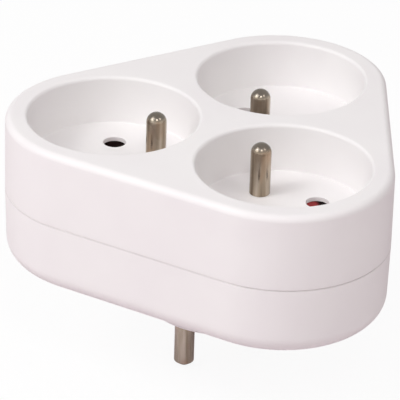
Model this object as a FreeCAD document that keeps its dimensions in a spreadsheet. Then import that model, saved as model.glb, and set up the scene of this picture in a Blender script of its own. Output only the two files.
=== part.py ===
import FreeCAD, Part
import math
import os
import Sketcher

# A three-way plug adapter: a rounded triangular body with three round sockets on top and one plug below.
# The origin is the centre of the plug's face, +Z points away from the wall and +X runs along the plug's pins.
# Lengths are millimetres, angles are degrees. "Outward" is away from the centre of the body.

SOCKETS = 3
TURN = 360.0 / SOCKETS
FIRST_SOCKET = -90.0
SIDES = (("line", 1), ("neutral", -1))
CLIP_FLATS = 8
BAR_FLATS = 12
POST_FLATS = 8
TOUCH = 1e-4

SIZES = (
    ("pitch", 26.2, "centre of the body to the axis of each socket"),
    ("contact_offset", 9.5, "socket axis to each contact, and plug axis to each pin"),
    ("earth_offset", 10.0, "socket axis to its earth pin, and plug axis to its earth hole"),
    ("pin_radius", 2.4, "plug pins and earth pins"),
    ("lobe_radius", 25.3, "rounded corner of the body at the joint between its halves"),
    ("lower_height", 17.4, "lower half of the body, without the plug"),
    ("upper_height", 18.6, "upper half of the body"),
    ("lower_draft", 1.15, "lower half narrows towards the wall"),
    ("upper_draft", 0.3, "upper half narrows towards the top"),
    ("top_round", 1.75, "outer edge of the top"),
    ("bottom_round", 5.0, "outer edge of the underside"),
    ("joint_bevel", 0.22, "bevels that make the line between the halves"),
    ("wall", 2.2, "outer wall of both halves"),
    ("roof", 2.0, "top between the sockets"),
    ("lip_height", 1.5, "tongue of the lower half inside the upper one"),
    ("lip_gap", 0.1, "play round the tongue"),
    ("well_radius", 20.0, "socket well"),
    ("well_depth", 12.0, "socket well"),
    ("well_wall", 1.5, "wall of the well inside the body"),
    ("well_floor", 1.1, "floor of the well"),
    ("rim_bevel", 0.5, "upper edge of the well"),
    ("hole_play", 0.3, "play of a plug's pin in the contact hole"),
    ("earth_height", 12.8, "earth pin above the well's floor"),
    ("rivet_radius", 1.9, "eight-sided tail of the earth pin, half its width across flats"),
    ("boss_radius", 18.3, "round plug that enters the wall socket"),
    ("boss_height", 12.4, "round plug that enters the wall socket"),
    ("boss_bevel", 0.8, "edge of the plug's face"),
    ("pin_reach", 15.9, "plug pins beyond the plug's face"),
    ("tip_height", 1.35, "bevelled end of the plug pins, with its nose"),
    ("nose_radius", 1.15, "round nose of the plug pins"),
    ("nose_height", 0.45, "round nose of the plug pins"),
    ("shoulder_radius", 2.8, "step of the plug pin in the plug's face"),
    ("stem_radius", 2.0, "plug pin inside the body"),
    ("plug_earth_play", 0.2, "play of the wall socket's earth pin in its hole"),
    ("plug_earth_mouth", 0.5, "bevel at the mouth of that hole"),
    ("collar_rise", 1.8, "collar round that hole inside the plug"),
    ("collar_wall", 2.0, "collar round that hole inside the plug"),
    ("fit_gap", 0.05, "play of a pin or rivet in its hole"),
    ("seat_gap", 0.2, "play between stacked pieces"),
    ("bar_floor", 1.4, "height of the line bar over the inner floor"),
    ("bar_thick", 0.8, "brass of the bars"),
    ("bar_step", 4.0, "line bar to neutral bar"),
    ("bar_inner", 18.2, "inner radius of the bars, across flats"),
    ("bar_outer", 21.9, "outer radius of the bars, across flats"),
    ("tab_half", 4.1, "half the width of a bar's outer tabs"),
    ("eye_half", 3.3, "half the width of a bar's inner tab"),
    ("spacer_margin", 0.4, "insulating ring wider than the bars, each way"),
    ("rib_inset", 0.7, "rib under the line bar, inside its edges"),
    ("clip_wall", 0.65, "brass of the clips"),
    ("earth_clip_height", 9.0, "clip for the wall socket's earth pin"),
    ("strap_lap", 5.0, "length of that clip beside the strap"),
    ("earth_thick", 1.0, "brass of the earth plate"),
    ("earth_arm", 3.2, "half the width of the earth plate's arms"),
    ("arm_end", 3.2, "arms beyond the earth pins"),
    ("earth_hub", 5.0, "middle of the earth plate"),
    ("strap_half", 2.5, "half the width of the strap down to the plug"),
    ("strap_thick", 0.8, "brass of that strap"),
    ("shutter_height", 4.3, "shutter under the contact holes"),
    ("shutter_gap", 0.15, "play above and below the shutter"),
    ("shutter_side_gap", 0.2, "play between the shutter and its rails"),
    ("shutter_travel", 5.6, "way the shutter slides towards the centre of the body"),
    ("shutter_nose", 4.6, "shutter inward of the contact holes"),
    ("shutter_bar", 0.6, "outer edge of the crossbar, inward of the contact holes"),
    ("leg_wall", 0.8, "walls beside the shutter's slots"),
    ("slot_play", 0.5, "play of a plug's pin in the shutter's slots"),
    ("tail_wall", 1.1, "end wall of the slots"),
    ("ramp_lip", 0.6, "height of the ramp's foot"),
    ("ramp_reach", 3.0, "top of the ramp, inward of the contact holes"),
    ("relief_half", 3.6, "half the width of the crossbar's step under the earth plate"),
    ("rail_wall", 1.3, "rails beside the shutter"),
    ("rail_short", 2.4, "rails end short of the inner pegs"),
    ("plate_thick", 1.3, "retaining plate under the shutter"),
    ("plate_margin", 0.5, "plate wider than the rails, each way"),
    ("plate_gap", 1.8, "inner corners of the plate to the line between two sockets"),
    ("plate_tail", 5.8, "plate outward of the contact holes"),
    ("peg_half", 1.2, "half the width of the pegs that hold the plate"),
    ("window_half", 3.4, "half the width of the plate's windows under the contact holes"),
    ("peg_edge", 0.7, "closed heads wider than the pegs, each way"),
    ("peg_rise", 0.7, "closed heads of the pegs"),
    ("peg_inset", 3.2, "inner pegs to the plate's inner edge"),
    ("inner_peg_side", 11.0, "inner pegs, to each side"),
    ("outer_peg", 3.3, "outer peg, outward of the contact holes"),
    ("stop_inset", 2.0, "rib that the spring pushes on, to the plate's inner edge"),
    ("stop_thick", 1.3, "rib that the spring pushes on"),
    ("stop_half", 3.0, "half the width of that rib"),
    ("leaf_reach", 9.0, "tips of the leaf spring, to each side"),
    ("leaf_seat", 1.8, "flat middle of the leaf spring, to each side"),
    ("leaf_thick", 0.45, "leaf spring, along the shutter's way"),
    ("leaf_rise", 2.6, "height of the leaf spring"),
    ("post_pitch", 29.0, "centre of the body to each screw"),
    ("post_wall", 1.3, "wall of the lower half's posts round the screw heads"),
    ("pilot_wall", 1.85, "wall of the upper half's posts round the screws"),
    ("screw_sink", 8.0, "screw head's seat above the underside"),
    ("screw_head", 2.75, "radius of the screw's head"),
    ("head_height", 2.0, "screw's head"),
    ("head_gap", 0.35, "play round the head"),
    ("screw_radius", 1.5, "shank of the screw"),
    ("screw_length", 20.0, "shank of the screw"),
    ("pilot_extra", 1.6, "pilot hole longer than the screw"),
    ("seat_half", 3.7, "half the width of the seats under the contact clips"),
    ("seat_wall", 1.0, "wall of the hollow seats that a pin's tip enters"),
)

# Heights and places that follow from the sizes, each from the wall upward or from the centre outward.
PLACES = (
    ("joint", "sizes.boss_height + sizes.lower_height"),
    ("top", "joint + sizes.upper_height"),
    ("floor_top", "top - sizes.well_depth"),
    ("floor_under", "floor_top - sizes.well_floor"),
    ("roof_under", "top - sizes.roof"),
    ("inner_floor", "sizes.boss_height + sizes.wall"),
    ("inner_lobe", "sizes.lobe_radius - sizes.wall"),
    ("rebate_lobe", "sizes.lobe_radius - sizes.wall / 2"),
    ("lip_lobe", "rebate_lobe - sizes.lip_gap"),
    ("rebate_height", "sizes.lip_height + sizes.seat_gap"),
    ("cavity_height", "roof_under - joint"),
    ("lower_cavity", "joint - inner_floor"),
    ("inner_bevel", "sizes.bottom_round - sizes.wall"),
    ("cup_radius", "sizes.well_radius + sizes.well_wall"),
    ("cup_height", "roof_under - floor_under"),
    ("hole_radius", "sizes.pin_radius + sizes.hole_play"),
    ("rivet_hole", "sizes.rivet_radius + sizes.fit_gap"),
    ("earth_tail", "sizes.well_floor + sizes.earth_thick"),
    ("boss_inner", "sizes.boss_radius - sizes.wall"),
    ("shoulder_hole", "sizes.shoulder_radius + sizes.fit_gap"),
    ("nose_ball", "(sizes.nose_radius ^ 2 + sizes.nose_height ^ 2) / (2 * sizes.nose_height)"),
    ("plug_earth_radius", "sizes.pin_radius + sizes.plug_earth_play"),
    ("collar_radius", "plug_earth_radius + sizes.collar_wall"),
    ("collar_top", "sizes.wall + sizes.collar_rise"),
    ("line_bar", "inner_floor + sizes.bar_floor"),
    ("neutral_bar", "line_bar + sizes.bar_step"),
    ("bar_middle", "(sizes.bar_inner + sizes.bar_outer) / 2"),
    ("tab_start", "sizes.pitch - sqrt(bar_middle ^ 2 - sizes.contact_offset ^ 2)"),
    ("clip_bore", "sizes.pin_radius + sizes.fit_gap"),
    ("clip_outer", "clip_bore + sizes.clip_wall"),
    ("spacer_low", "line_bar + sizes.bar_thick + sizes.fit_gap"),
    ("spacer_rise", "sizes.bar_step - sizes.bar_thick - 2 * sizes.fit_gap"),
    ("seat_rise", "sizes.bar_floor + sizes.bar_step"),
    ("shutter_high", "floor_under - sizes.shutter_gap"),
    ("shutter_low", "shutter_high - sizes.shutter_height"),
    ("slot_half", "sizes.pin_radius + sizes.slot_play"),
    ("slot_near", "sizes.contact_offset - slot_half"),
    ("slot_tail", "sizes.shutter_travel + slot_half"),
    ("ramp_start", "sizes.shutter_travel - slot_half"),
    ("shutter_tail", "slot_tail + sizes.tail_wall"),
    ("leg_near", "slot_near - sizes.leg_wall"),
    ("shutter_half", "sizes.contact_offset + slot_half + sizes.leg_wall"),
    ("rail_near", "shutter_half + sizes.shutter_side_gap"),
    ("rail_far", "rail_near + sizes.rail_wall"),
    ("plate_half", "rail_far + sizes.plate_margin"),
    ("plate_nose", f"sizes.pitch - (plate_half + sizes.plate_gap) / tan({TURN / 2} deg)"),
    ("inner_peg", "plate_nose - sizes.peg_inset"),
    ("stop_face", "plate_nose - sizes.stop_inset"),
    ("rail_reach", "inner_peg - sizes.rail_short"),
    ("stop_near", "shutter_tail + sizes.shutter_side_gap"),
    ("stop_far", "stop_near + sizes.rail_wall"),
    ("plate_high", "shutter_low - sizes.shutter_gap"),
    ("plate_low", "plate_high - sizes.plate_thick"),
    ("rail_height", "floor_under - plate_high - sizes.fit_gap"),
    ("peg_height", "floor_under - plate_low"),
    ("plate_earth", "floor_under - sizes.earth_thick"),
    ("relief_low", "plate_earth - sizes.seat_gap"),
    ("relief_height", "shutter_high - relief_low"),
    ("stop_height", "relief_low - plate_high"),
    ("leaf_low", "plate_high + (stop_height - sizes.leaf_rise) / 2"),
    ("leaf_back", "stop_face - sizes.fit_gap"),
    ("leaf_front", "leaf_back - sizes.leaf_thick"),
    ("leaf_tip", "sizes.shutter_nose + sizes.fit_gap"),
    ("clip_top", "plate_low - sizes.seat_gap"),
    ("line_bar_clip_rise", "clip_top - line_bar"),
    ("neutral_bar_clip_rise", "clip_top - neutral_bar"),
    ("post_top", "joint - sizes.seat_gap"),
    ("post_rise", "post_top - inner_floor"),
    ("screw_seat", "sizes.boss_height + sizes.screw_sink"),
    ("counterbore", "sizes.screw_head + sizes.head_gap"),
    ("post_bore", "sizes.screw_radius + 4 * sizes.fit_gap"),
    ("pilot_bore", "sizes.screw_radius + sizes.fit_gap"),
    ("post_radius", "counterbore + sizes.post_wall"),
    ("upper_post", "pilot_bore + sizes.pilot_wall"),
    ("pilot_depth", "screw_seat + sizes.screw_length + sizes.pilot_extra - joint"),
    ("strap_face", "sizes.earth_offset - clip_outer - sizes.fit_gap"),
    ("earth_clip_low", "collar_top + sizes.seat_gap"),
    ("strap_low", "earth_clip_low + sizes.earth_clip_height - sizes.strap_lap"),
    ("strap_rise", "floor_under - strap_low"),
)

doc = FreeCAD.newDocument("socket_adapter")
sizes = doc.addObject("Spreadsheet::Sheet", "sizes")
places = doc.addObject("App::VarSet", "places")
Z = FreeCAD.Vector(0, 0, 1)


def fill_sheet():
    for row, (name, value, note) in enumerate(SIZES, start=1):
        sizes.set(f"A{row}", name)
        sizes.set(f"B{row}", str(value))
        sizes.set(f"C{row}", note)
        sizes.setAlias(f"B{row}", name)
    doc.recompute()


def work_out_places():
    for name, rule in PLACES:
        places.addProperty("App::PropertyFloat", name, "Places", rule)
        places.setExpression(name, rule)
    places.recompute()


# A distance is the name of a size or a place, with a minus sign if need be, or a tuple of names to add up.
def words_of(distance):
    if distance == "0":
        return ()
    return (distance,) if isinstance(distance, str) else distance


def is_place(word):
    return word in places.PropertiesList


# The expression that stands for a distance.
def rule_of(distance):
    rule = ""
    for name in words_of(distance):
        word = name.lstrip("-")
        owner = "places" if is_place(word) else "sizes"
        rule += f" {'-' if name.startswith('-') else '+'} {owner}.{word}"
    return rule.removeprefix(" + ").strip() or "0"


# The number behind a distance.
def number(distance):
    total = 0.0
    for name in words_of(distance):
        word = name.lstrip("-")
        value = float(getattr(places if is_place(word) else sizes, word))
        total += -value if name.startswith("-") else value
    return total


def opposite(distance):
    return tuple(name[1:] if name.startswith("-") else f"-{name}" for name in words_of(distance))


def new_body(name):
    body = doc.addObject("PartDesign::Body", name)
    body.Label = name
    return body


def origin_part(body, role):
    return next(item for item in body.Origin.OriginFeatures if item.Role == role)


def new_sketch(body, name, level="0", plane="XY_Plane"):
    sketch = body.newObject("Sketcher::SketchObject", name)
    sketch.AttachmentSupport = [(origin_part(body, plane), "")]
    sketch.MapMode = "FlatFace"
    if level != "0":
        sketch.setExpression("AttachmentOffset.Base.z", rule_of(level))
    return sketch


# A sketch on the first socket's axis, its X outward and its Y to the line contact's side.
def socket_sketch(body, name, level):
    sketch = new_sketch(body, name, level)
    turned = FreeCAD.Rotation(Z, FIRST_SOCKET)
    sketch.AttachmentOffset = FreeCAD.Placement(FreeCAD.Vector(0, 0, number(level)), turned)
    sketch.setExpression("AttachmentOffset.Base.x", f"sizes.pitch * cos({FIRST_SOCKET} deg)")
    sketch.setExpression("AttachmentOffset.Base.y", f"sizes.pitch * sin({FIRST_SOCKET} deg)")
    return sketch


def constrain(sketch, rule, kind, *items):
    index = sketch.addConstraint(Sketcher.Constraint(kind, *items))
    sketch.setExpression(f"Constraints[{index}]", rule)


# Ties a point of the sketch to its place; each coordinate is a rule and the number that it gives.
def hold_point(sketch, item, point, across, up):
    constrain(sketch, across[0], "DistanceX", -1, 1, item, point, across[1])
    constrain(sketch, up[0], "DistanceY", -1, 1, item, point, up[1])


def named(distance):
    return rule_of(distance), number(distance)


def circle(sketch, radius, x="0", y="0"):
    middle = FreeCAD.Vector(number(x), number(y), 0)
    item = sketch.addGeometry(Part.Circle(middle, Z, number(radius)))
    constrain(sketch, rule_of(radius), "Radius", item, number(radius))
    hold_point(sketch, item, 3, named(x), named(y))


def closed_lines(sketch, corners):
    points = [FreeCAD.Vector(across[1], up[1], 0) for across, up in corners]
    items = []
    for start, end in zip(points, points[1:] + points[:1]):
        items.append(sketch.addGeometry(Part.LineSegment(start, end)))
    for here, after in zip(items, items[1:] + items[:1]):
        sketch.addConstraint(Sketcher.Constraint("Coincident", here, 2, after, 1))
    for item, (across, up) in zip(items, corners):
        hold_point(sketch, item, 1, across, up)


def outline(sketch, corners):
    closed_lines(sketch, [(named(x), named(y)) for x, y in corners])


def box_outline(sketch, x_low, x_high, y_low, y_high):
    outline(sketch, ((x_low, y_low), (x_high, y_low), (x_high, y_high), (x_low, y_high)))


# Lines through the corners, closed by a pin's round end from the last corner to the first.
def domed_outline(sketch, corners, middle, radius):
    points = [FreeCAD.Vector(number(x), number(y), 0) for x, y in corners]
    items = []
    for start, end in zip(points, points[1:]):
        items.append(sketch.addGeometry(Part.LineSegment(start, end)))
    for here, after in zip(items, items[1:]):
        sketch.addConstraint(Sketcher.Constraint("Coincident", here, 2, after, 1))
    for item, (x, y) in zip(items, corners):
        hold_point(sketch, item, 1, named(x), named(y))
    hold_point(sketch, items[-1], 2, named(corners[-1][0]), named(corners[-1][1]))
    centre = FreeCAD.Vector(0, number(middle), 0)
    whole = Part.Circle(centre, Z, number(radius))
    start, end = (math.atan2(point.y - centre.y, point.x) for point in (points[-1], points[0]))
    arc = sketch.addGeometry(Part.ArcOfCircle(whole, start, end))
    sketch.addConstraint(Sketcher.Constraint("Coincident", items[-1], 2, arc, 1))
    sketch.addConstraint(Sketcher.Constraint("Coincident", arc, 2, items[0], 1))
    constrain(sketch, rule_of(radius), "Radius", arc, number(radius))


# A box centred on a named place, its half widths given as names too.
def centred_box(sketch, x, y, half):
    x_words, y_words = words_of(x), words_of(y)
    box_outline(
        sketch,
        x_words + opposite(half),
        x_words + words_of(half),
        y_words + opposite(half),
        y_words + words_of(half),
    )


# A corner between two flats of a regular outline, given half its width across flats and its middle.
def flat_corner(across_flats, flats, turn, x="0", y="0"):
    half = 180.0 / flats
    reach = number(across_flats) / math.cos(math.radians(half))
    rule = f"({rule_of(across_flats)}) / cos({half} deg)"
    way = math.radians(turn)
    across = (f"{rule} * cos({turn} deg) + {rule_of(x)}", reach * math.cos(way) + number(x))
    up = (f"{rule} * sin({turn} deg) + {rule_of(y)}", reach * math.sin(way) + number(y))
    return across, up


def corner_turns(flats):
    return [180.0 / flats * (2 * index + 1) - 180.0 for index in range(flats)]


def polygon(sketch, across_flats, flats, x="0", y="0"):
    turns = corner_turns(flats)
    closed_lines(sketch, [flat_corner(across_flats, flats, turn, x, y) for turn in turns])


# A sleeve folded from strip: all flats but the one that faces inward.
def folded_sleeve(sketch):
    turns = corner_turns(CLIP_FLATS)
    outer = [flat_corner("clip_outer", CLIP_FLATS, turn) for turn in turns]
    inner = [flat_corner("clip_bore", CLIP_FLATS, turn) for turn in reversed(turns)]
    closed_lines(sketch, outer + inner)


# Three equal arcs round the socket axes, joined by their common tangents.
def lobes(sketch, radius):
    reach = math.radians(TURN / 2)
    arcs = []
    for index in range(SOCKETS):
        turn = FIRST_SOCKET + TURN * index
        way = math.radians(turn)
        middle = FreeCAD.Vector(math.cos(way), math.sin(way), 0) * number("pitch")
        whole = Part.Circle(middle, Z, number(radius))
        arc = sketch.addGeometry(Part.ArcOfCircle(whole, way - reach, way + reach))
        constrain(sketch, rule_of(radius), "Radius", arc, number(radius))
        across = (f"sizes.pitch * cos({turn} deg)", middle.x)
        up = (f"sizes.pitch * sin({turn} deg)", middle.y)
        hold_point(sketch, arc, 3, across, up)
        arcs.append(arc)
    for here, after in zip(arcs, arcs[1:] + arcs[:1]):
        start = sketch.Geometry[here].EndPoint
        end = sketch.Geometry[after].StartPoint
        side = sketch.addGeometry(Part.LineSegment(start, end))
        sketch.addConstraint(Sketcher.Constraint("Tangent", here, 2, side, 1))
        sketch.addConstraint(Sketcher.Constraint("Tangent", side, 2, after, 1))


def pad(body, sketch, name, rise, down=False):
    feature = body.newObject("PartDesign::Pad", name)
    feature.Profile = sketch
    feature.setExpression("Length", rule_of(rise))
    feature.Reversed = down
    doc.recompute()
    return feature


# A pocket goes against its sketch's normal, or along it when along is set, and must take material away.
def pocket(body, sketch, name, depth, along=False):
    before = body.Shape.Volume
    feature = body.newObject("PartDesign::Pocket", name)
    feature.Profile = sketch
    feature.setExpression("Length", rule_of(depth))
    feature.Reversed = along
    doc.recompute()
    if feature.Shape.Volume >= before - TOUCH:
        raise RuntimeError(f"{body.Label}: {name} cuts nothing")
    return feature


# A solid turned about the sketch's upright axis.
def revolve(body, sketch, name):
    feature = body.newObject("PartDesign::Revolution", name)
    feature.Profile = sketch
    feature.ReferenceAxis = (sketch, ["V_Axis"])
    feature.Angle = 360
    doc.recompute()
    return feature


def round_the_body(body, features, name):
    pattern = body.newObject("PartDesign::PolarPattern", name)
    pattern.Originals = features
    pattern.Axis = (origin_part(body, "Z_Axis"), [""])
    pattern.Angle = 360
    pattern.Occurrences = SOCKETS
    body.Tip = pattern
    doc.recompute()
    return pattern


def mirror(body, features, name):
    mirrored = body.newObject("PartDesign::Mirrored", name)
    mirrored.Originals = features
    mirrored.MirrorPlane = (origin_part(body, "XZ_Plane"), [""])
    body.Tip = mirrored
    doc.recompute()
    return mirrored


# Names of the edges that lie at one height and pass a further test.
def edges_at(shape, height, wanted=lambda edge: True):
    found = []
    for index, edge in enumerate(shape.Edges, start=1):
        box = edge.BoundBox
        level = abs(box.ZMin - height) < TOUCH and abs(box.ZMax - height) < TOUCH
        if level and wanted(edge):
            found.append(f"Edge{index}")
    return found


def is_circle(radius):
    def check(edge):
        curve = edge.Curve
        return hasattr(curve, "Radius") and abs(curve.Radius - number(radius)) < TOUCH

    return check


def dress(body, kind, name, size, base, edges):
    feature = body.newObject(f"PartDesign::{kind}", name)
    feature.Base = (base, edges)
    feature.setExpression("Radius" if kind == "Fillet" else "Size", rule_of(size))
    doc.recompute()
    return feature


# Slopes the upright outer faces, keeping their outline at the joint between the halves.
def slope_sides(body, base, angle, name):
    sides = []
    for index, face in enumerate(base.Shape.Faces, start=1):
        if abs(face.normalAt(0, 0).z) < TOUCH:
            sides.append(f"Face{index}")
        elif abs(face.BoundBox.ZMax - number("joint")) < TOUCH:
            still = f"Face{index}"
    feature = body.newObject("PartDesign::Draft", name)
    feature.Base = (base, sides)
    feature.NeutralPlane = (base, [still])
    feature.setExpression("Angle", rule_of(angle))
    doc.recompute()
    if feature.Shape.Volume > base.Shape.Volume:
        feature.Reversed = True
        doc.recompute()
    return feature


# Puts a piece made round its own axis at an angle and a distance from the centre of the body.
def place_round(item, turn, outward="0", side="0", height="0"):
    way = f"{turn} deg"
    out, aside = f"({rule_of(outward)})", f"({rule_of(side)})"
    item.Placement = FreeCAD.Placement(FreeCAD.Vector(), FreeCAD.Rotation(Z, turn))
    item.setExpression("Placement.Base.x", f"{out} * cos({way}) - {aside} * sin({way})")
    item.setExpression("Placement.Base.y", f"{out} * sin({way}) + {aside} * cos({way})")
    item.setExpression("Placement.Base.z", rule_of(height))


def top_housing():
    body = new_body("top_housing")
    outer = new_sketch(body, "upper_outline", "joint")
    lobes(outer, "lobe_radius")
    block = pad(body, outer, "upper_block", "upper_height")
    sloped = slope_sides(body, block, "upper_draft", "upper_slope")
    rim = edges_at(sloped.Shape, number("top"))
    rounded = dress(body, "Fillet", "top_edge", "top_round", sloped, rim)
    low_rim = edges_at(rounded.Shape, number("joint"))
    dress(body, "Chamfer", "upper_bevel", "joint_bevel", rounded, low_rim)
    hollow_upper_half(body)
    sink_wells(body)
    add_pegs(body)
    add_upper_posts(body)
    return body


def hollow_upper_half(body):
    cavity = new_sketch(body, "upper_cavity", "joint")
    lobes(cavity, "inner_lobe")
    pocket(body, cavity, "upper_hollow", "cavity_height", along=True)
    rebate = new_sketch(body, "rebate_outline", "joint")
    lobes(rebate, "rebate_lobe")
    pocket(body, rebate, "rebate", "rebate_height", along=True)


def sink_wells(body):
    cup = socket_sketch(body, "cup_outline", "floor_under")
    polygon(cup, "cup_radius", BAR_FLATS)
    cup_pad = pad(body, cup, "cup", "cup_height")
    round_the_body(body, [cup_pad], "cups")
    well = socket_sketch(body, "well_outline", "top")
    circle(well, "well_radius")
    well_cut = pocket(body, well, "well", "well_depth")
    wells = round_the_body(body, [well_cut], "wells")
    rims = edges_at(wells.Shape, number("top"), is_circle("well_radius"))
    dress(body, "Chamfer", "well_rims", "rim_bevel", wells, rims)
    holes = socket_sketch(body, "hole_outlines", "floor_top")
    circle(holes, "hole_radius", "0", "contact_offset")
    circle(holes, "hole_radius", "0", "-contact_offset")
    polygon(holes, "rivet_hole", POST_FLATS, "-earth_offset")
    hole_cut = pocket(body, holes, "floor_holes", "well_floor")
    round_the_body(body, [hole_cut], "all_floor_holes")


# Pegs under each well's floor, their ends closed over the shutter's cradle.
def add_pegs(body):
    pegs = socket_sketch(body, "peg_outline", "plate_low")
    peg_boxes(pegs, "peg_half")
    peg_pad = pad(body, pegs, "peg", "peg_height")
    heads = socket_sketch(body, "peg_head_outline", "plate_low")
    peg_boxes(heads, ("peg_half", "peg_edge"))
    head_pad = pad(body, heads, "peg_heads", "peg_rise", down=True)
    round_the_body(body, [peg_pad, head_pad], "all_pegs")


def peg_boxes(sketch, half):
    centred_box(sketch, "-inner_peg", "inner_peg_side", half)
    centred_box(sketch, "-inner_peg", "-inner_peg_side", half)
    centred_box(sketch, "outer_peg", "0", half)


def add_upper_posts(body):
    post = new_sketch(body, "upper_post_outline", "joint")
    polygon(post, "upper_post", POST_FLATS, "0", "post_pitch")
    post_pad = pad(body, post, "upper_post_block", "cavity_height")
    pilot = new_sketch(body, "pilot_outline", "joint")
    polygon(pilot, "pilot_bore", POST_FLATS, "0", "post_pitch")
    pilot_cut = pocket(body, pilot, "pilot", "pilot_depth", along=True)
    round_the_body(body, [post_pad, pilot_cut], "upper_posts")


def bottom_housing():
    body = new_body("bottom_housing")
    outer = new_sketch(body, "lower_outline", "boss_height")
    lobes(outer, "lobe_radius")
    block = pad(body, outer, "lower_block", "lower_height")
    sloped = slope_sides(body, block, "lower_draft", "lower_slope")
    low_rim = edges_at(sloped.Shape, number("boss_height"))
    rounded = dress(body, "Fillet", "bottom_edge", "bottom_round", sloped, low_rim)
    rim = edges_at(rounded.Shape, number("joint"))
    dress(body, "Chamfer", "lower_bevel", "joint_bevel", rounded, rim)
    cavity = new_sketch(body, "lower_cavity_outline", "joint")
    lobes(cavity, "inner_lobe")
    hollow = pocket(body, cavity, "lower_hollow", "lower_cavity")
    corner = edges_at(hollow.Shape, number("inner_floor"))
    dress(body, "Chamfer", "inner_edge", "inner_bevel", hollow, corner)
    add_lip(body)
    add_plug(body)
    add_seats(body)
    add_lower_posts(body)
    return body


def add_lip(body):
    lip = new_sketch(body, "lip_outline", "joint")
    lobes(lip, "lip_lobe")
    lobes(lip, "inner_lobe")
    pad(body, lip, "lip", "lip_height")


def add_plug(body):
    boss = new_sketch(body, "boss_outline")
    circle(boss, "boss_radius")
    plug = pad(body, boss, "plug", "boss_height")
    dress(body, "Chamfer", "plug_edge", "boss_bevel", plug, edges_at(plug.Shape, 0.0))
    inside = new_sketch(body, "boss_cavity", "wall")
    circle(inside, "boss_inner")
    pocket(body, inside, "plug_hollow", "boss_height", along=True)
    collar = new_sketch(body, "collar_outline", "wall")
    polygon(collar, "collar_radius", POST_FLATS, "0", "earth_offset")
    pad(body, collar, "collar", "collar_rise")
    earth = new_sketch(body, "plug_earth_outline")
    circle(earth, "plug_earth_radius", "0", "earth_offset")
    earth_cut = pocket(body, earth, "plug_earth_hole", "collar_top", along=True)
    mouth = edges_at(earth_cut.Shape, 0.0, is_circle("plug_earth_radius"))
    dress(body, "Chamfer", "plug_earth_bevel", "plug_earth_mouth", earth_cut, mouth)
    pins = new_sketch(body, "plug_pin_outlines")
    circle(pins, "shoulder_hole", "contact_offset", "0")
    circle(pins, "shoulder_hole", "-contact_offset", "0")
    pocket(body, pins, "plug_pin_holes", "wall", along=True)


# A rib under the line bar, a low seat under each line clip and a tall hollow one under each neutral clip.
def add_seats(body):
    rib = new_sketch(body, "rib_outline", "inner_floor")
    polygon(rib, ("bar_outer", "-rib_inset"), BAR_FLATS)
    polygon(rib, ("bar_inner", "rib_inset"), BAR_FLATS)
    pad(body, rib, "rib", "bar_floor")
    low = socket_sketch(body, "line_seat_outline", "inner_floor")
    centred_box(low, "0", "contact_offset", "seat_half")
    low_pad = pad(body, low, "line_seat", "bar_floor")
    tall = socket_sketch(body, "neutral_seat_outline", "inner_floor")
    centred_box(tall, "0", "-contact_offset", "seat_half")
    centred_box(tall, "0", "-contact_offset", ("seat_half", "-seat_wall"))
    tall_pad = pad(body, tall, "neutral_seat", "seat_rise")
    round_the_body(body, [low_pad, tall_pad], "all_seats")


def add_lower_posts(body):
    post = new_sketch(body, "lower_post_outline", "inner_floor")
    polygon(post, "post_radius", POST_FLATS, "0", "post_pitch")
    post_pad = pad(body, post, "lower_post_block", "post_rise")
    sink = new_sketch(body, "sink_outline", "boss_height")
    circle(sink, "counterbore", "0", "post_pitch")
    sink_cut = pocket(body, sink, "sink", "screw_sink", along=True)
    shank = new_sketch(body, "shank_outline", "post_top")
    polygon(shank, "post_bore", POST_FLATS, "0", "post_pitch")
    shank_cut = pocket(body, shank, "shank", "lower_height")
    round_the_body(body, [post_pad, sink_cut, shank_cut], "lower_posts")


# A domed pin on the floor of a well; its eight-sided tail goes through the floor and the earth plate.
def earth_pin(name, turn):
    body = new_body(name)
    profile = new_sketch(body, f"{name}_profile", plane="XZ_Plane")
    corners = (
        ("0", "earth_height"),
        ("0", "0"),
        ("pin_radius", "0"),
        ("pin_radius", ("earth_height", "-pin_radius")),
    )
    domed_outline(profile, corners, ("earth_height", "-pin_radius"), "pin_radius")
    revolve(body, profile, f"{name}_turned")
    tail = new_sketch(body, f"{name}_tail")
    polygon(tail, "rivet_radius", POST_FLATS)
    pad(body, tail, f"{name}_tail_pad", "earth_tail", down=True)
    place_round(body, turn, ("pitch", "-earth_offset"), "0", "floor_top")
    return body


# A solid plug pin: bevelled end, a wider step in the plug's face and a stem that its bar is brazed to.
def plug_pin(name, side, level):
    body = new_body(name)
    profile = new_sketch(body, f"{name}_profile", plane="XZ_Plane")
    corners = (
        ("nose_radius", ("nose_height", "-pin_reach")),
        ("pin_radius", ("tip_height", "-pin_reach")),
        ("pin_radius", "0"),
        ("shoulder_radius", "0"),
        ("shoulder_radius", "wall"),
        ("stem_radius", "wall"),
        ("stem_radius", level),
        ("0", level),
        ("0", "-pin_reach"),
    )
    domed_outline(profile, corners, ("nose_ball", "-pin_reach"), "nose_ball")
    revolve(body, profile, f"{name}_turned")
    place_round(body, 0.0, "contact_offset" if side > 0 else "-contact_offset")
    return body


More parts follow.
